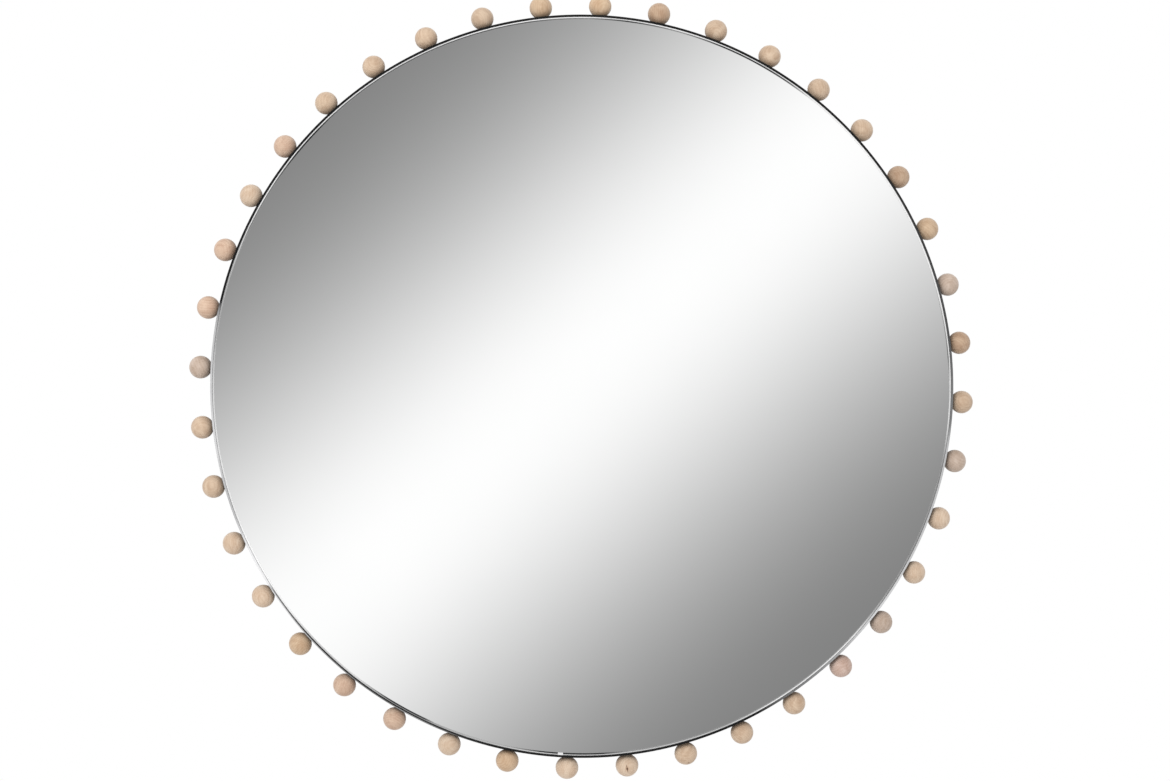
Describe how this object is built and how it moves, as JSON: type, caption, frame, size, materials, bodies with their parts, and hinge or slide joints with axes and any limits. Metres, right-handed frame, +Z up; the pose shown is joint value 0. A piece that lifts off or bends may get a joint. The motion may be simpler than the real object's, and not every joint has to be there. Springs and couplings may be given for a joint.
{
  "type": "wall mirror",
  "caption": "Round wall mirror in a thin black metal hoop ringed by turned wooden balls, with swinging D-ring hangers on the back.",
  "frame": {"origin": "centre of the hoop, on the wall plane that the hoop's rear edge and the bumpers touch", "axes": "+Z up, the mirror faces -Y into the room, +Y into the wall, +X to the viewer's right"},
  "size_m": [0.7622, 0.025, 0.7622],
  "materials": {
    "black_paint": "satin",
    "satin_aluminium": "satin",
    "mirror": "polished",
    "foam_tape": "matte",
    "fibreboard": "matte",
    "zinc_screw": "satin",
    "zinc_plate": "satin",
    "ring_wire": "polished",
    "bumper_rubber": "matte",
    "turned_wood": "matte"
  },
  "bodies": {
    "mirror": {"hoop_frame": "black_paint", "glazing_channel": "satin_aluminium", "channel_joint_clip": "satin_aluminium", "mirror_glass": "mirror", "mounting_tape": "foam_tape", "backing_board": "fibreboard", "bead_screws": "zinc_screw", "tab_screws": "zinc_screw", "hanger_screws": "zinc_screw", "hanger_strap_left": "zinc_plate", "hanger_strap_right": "zinc_plate", "wall_bumpers": "bumper_rubber", "bead_01": "turned_wood", "bead_02": "turned_wood", "bead_03": "turned_wood", "bead_04": "turned_wood", "bead_05": "turned_wood", "bead_06": "turned_wood", "bead_07": "turned_wood", "bead_08": "turned_wood", "bead_09": "turned_wood", "bead_10": "turned_wood", "bead_11": "turned_wood", "bead_12": "turned_wood", "bead_13": "turned_wood", "bead_14": "turned_wood", "bead_15": "turned_wood", "bead_16": "turned_wood", "bead_17": "turned_wood", "bead_18": "turned_wood", "bead_19": "turned_wood", "bead_20": "turned_wood", "bead_21": "turned_wood", "bead_22": "turned_wood", "bead_23": "turned_wood", "bead_24": "turned_wood", "bead_25": "turned_wood", "bead_26": "turned_wood", "bead_27": "turned_wood", "bead_28": "turned_wood", "bead_29": "turned_wood", "bead_30": "turned_wood", "bead_31": "turned_wood", "bead_32": "turned_wood", "bead_33": "turned_wood", "bead_34": "turned_wood", "bead_35": "turned_wood", "bead_36": "turned_wood", "bead_37": "turned_wood", "bead_38": "turned_wood", "bead_39": "turned_wood", "bead_40": "turned_wood", "fixing_tab_1": "black_paint", "fixing_tab_2": "black_paint", "fixing_tab_3": "black_paint", "fixing_tab_4": "black_paint"},
    "ring_left": {"hanger_ring_left": "ring_wire"},
    "ring_right": {"hanger_ring_right": "ring_wire"}
  },
  "joints": [
    {"name": "ring_left_swing", "type": "hinge", "parent": "mirror", "child": "ring_left", "pos_m": [-0.17063, -0.0068, 0.1895], "axis": [1, 0, 0], "range_deg": [0, 180]},
    {"name": "ring_right_swing", "type": "hinge", "parent": "mirror", "child": "ring_right", "pos_m": [0.17063, -0.0068, 0.1895], "axis": [1, 0, 0], "range_deg": [0, 180]}
  ]
}
